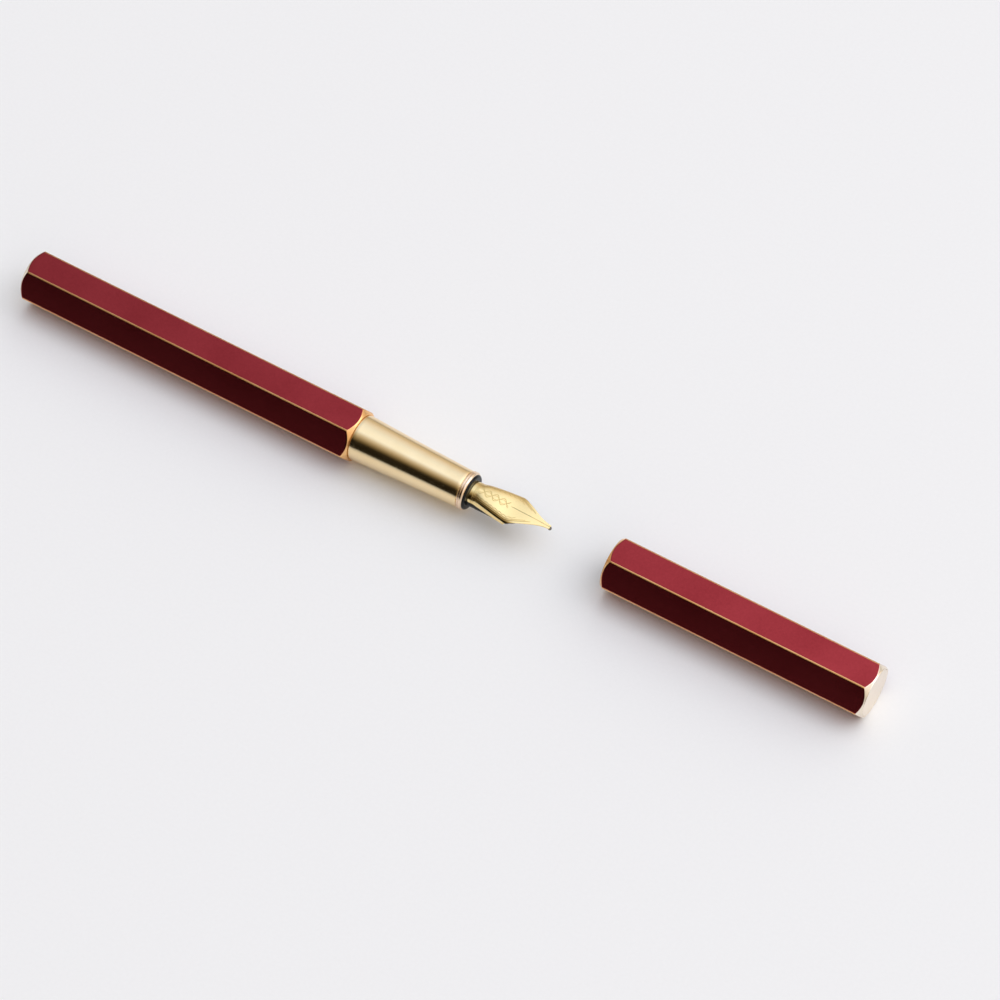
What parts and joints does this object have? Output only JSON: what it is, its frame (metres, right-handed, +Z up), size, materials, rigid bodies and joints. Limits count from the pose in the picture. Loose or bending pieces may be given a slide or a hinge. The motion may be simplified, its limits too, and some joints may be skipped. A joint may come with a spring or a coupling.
{
  "type": "fountain pen",
  "caption": "Hexagonal fountain pen with a turned metal grip, rolled nib over a comb feed, piston converter inside, and its pull-off cap lying in front of the nib.",
  "frame": {"origin": "middle of the overall length, on the surface that the pen and its cap lie on, under the pen's axis", "axes": "+X along the pen's axis from the barrel's closed end through the nib to the cap; +Y to the left of that, level; +Z up"},
  "size_m": [0.1996, 0.0124, 0.011],
  "materials": {
    "red_lacquer": "satin dark red lacquer over brass, bare along the edges",
    "polished_brass": "polished turned brass, pale",
    "plug_brass": "fine turned brass face",
    "gold_plate": "polished gold plate on a rolled steel sheet",
    "tip_alloy": "ground hard alloy pellet",
    "black_plastic": "black moulded plastic",
    "liner_plastic": "black moulded plastic, dull",
    "clear_plastic": "clear moulded plastic",
    "sleeve_chrome": "bright plate",
    "seal_rubber": "soft black seal"
  },
  "bodies": {
    "section": {"section_grip": "polished_brass", "section_front_ring": "polished_brass", "section_tenon": "black_plastic", "section_o_ring": "seal_rubber", "nib_housing": "black_plastic", "nib": "gold_plate", "nib_tip": "tip_alloy", "feed": "black_plastic"},
    "barrel": {"barrel_tube": "red_lacquer", "barrel_end_plug": "plug_brass", "barrel_thread_bush": "polished_brass"},
    "cap": {"cap_tube": "red_lacquer", "cap_end_plug": "plug_brass", "cap_liner": "liner_plastic"},
    "converter": {"converter_tube": "clear_plastic", "converter_sleeve": "sleeve_chrome", "converter_nut": "black_plastic"},
    "piston": {"piston_seal": "seal_rubber", "piston_rod": "black_plastic"},
    "knob": {"converter_knob": "black_plastic"}
  },
  "joints": [
    {"name": "barrel_slide", "type": "slide", "parent": "section", "child": "barrel", "axis": [-1, 0, 0], "range_m": [0, 0.075]},
    {"name": "cap_slide", "type": "slide", "parent": "section", "child": "cap", "axis": [-1, 0, 0], "range_m": [0, 0.0595]},
    {"name": "converter_slide", "type": "slide", "parent": "section", "child": "converter", "axis": [-1, 0, 0], "range_m": [0, 0.0075]},
    {"name": "knob_turn", "type": "hinge", "parent": "converter", "child": "knob", "pos_m": [-0.067, 0, 0.0055], "axis": [1, 0, 0], "range_deg": [0, 2160]},
    {"name": "piston_slide", "type": "slide", "parent": "converter", "child": "piston", "axis": [-1, 0, 0], "range_m": [0, 0.02]}
  ],
  "couplings": [
    {"joint": "knob_turn", "follows": "piston_slide", "rad_per_m": 1885}
  ]
}
